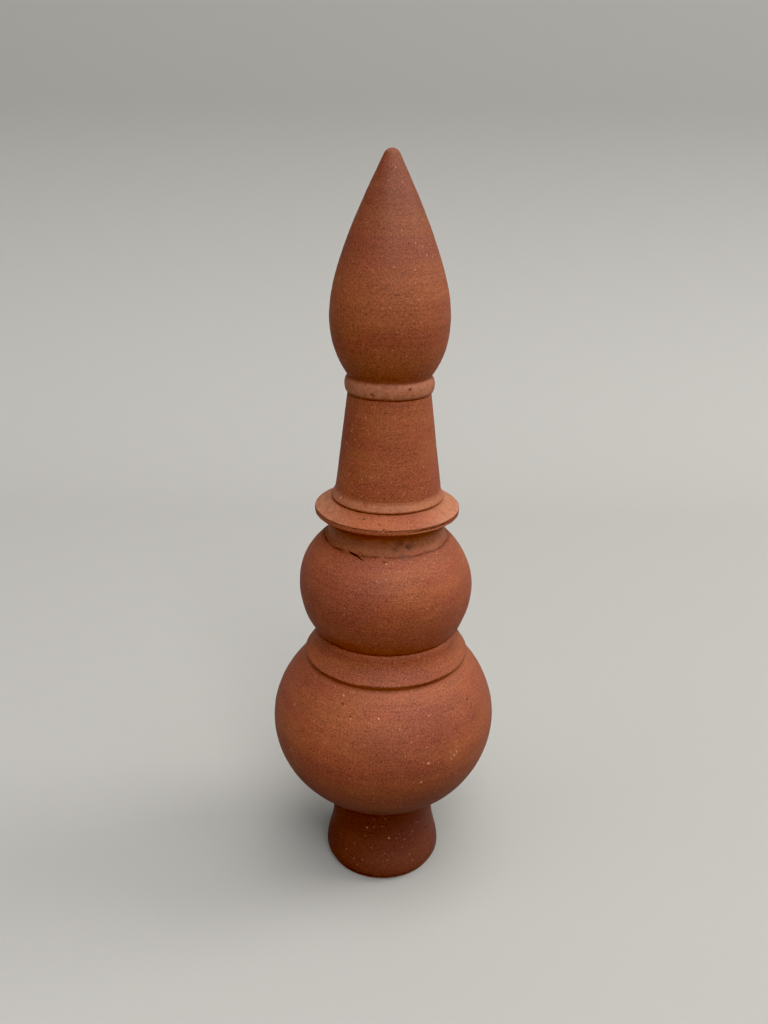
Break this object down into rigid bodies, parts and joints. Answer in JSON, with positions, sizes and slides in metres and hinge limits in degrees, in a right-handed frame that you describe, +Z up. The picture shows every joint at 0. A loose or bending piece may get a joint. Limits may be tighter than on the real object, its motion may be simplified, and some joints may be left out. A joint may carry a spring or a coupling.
{
  "type": "roof finial",
  "caption": "Turned terracotta roof finial: foot, two balls with a collar between, drip disc, tapered column, ring and pointed bud, with a round socket up the foot.",
  "frame": {"origin": "centre of the foot's underside, on the surface it stands on", "axes": "+Z up the turning axis, towards the tip of the bud; the part is round, so X and Y are any two level directions"},
  "size_m": [0.1254, 0.1254, 0.4002],
  "materials": {
    "terracotta": "matt unglazed fired clay with fine grog and turning lines"
  },
  "bodies": {
    "root": {"finial": "terracotta"}
  },
  "joints": []
}
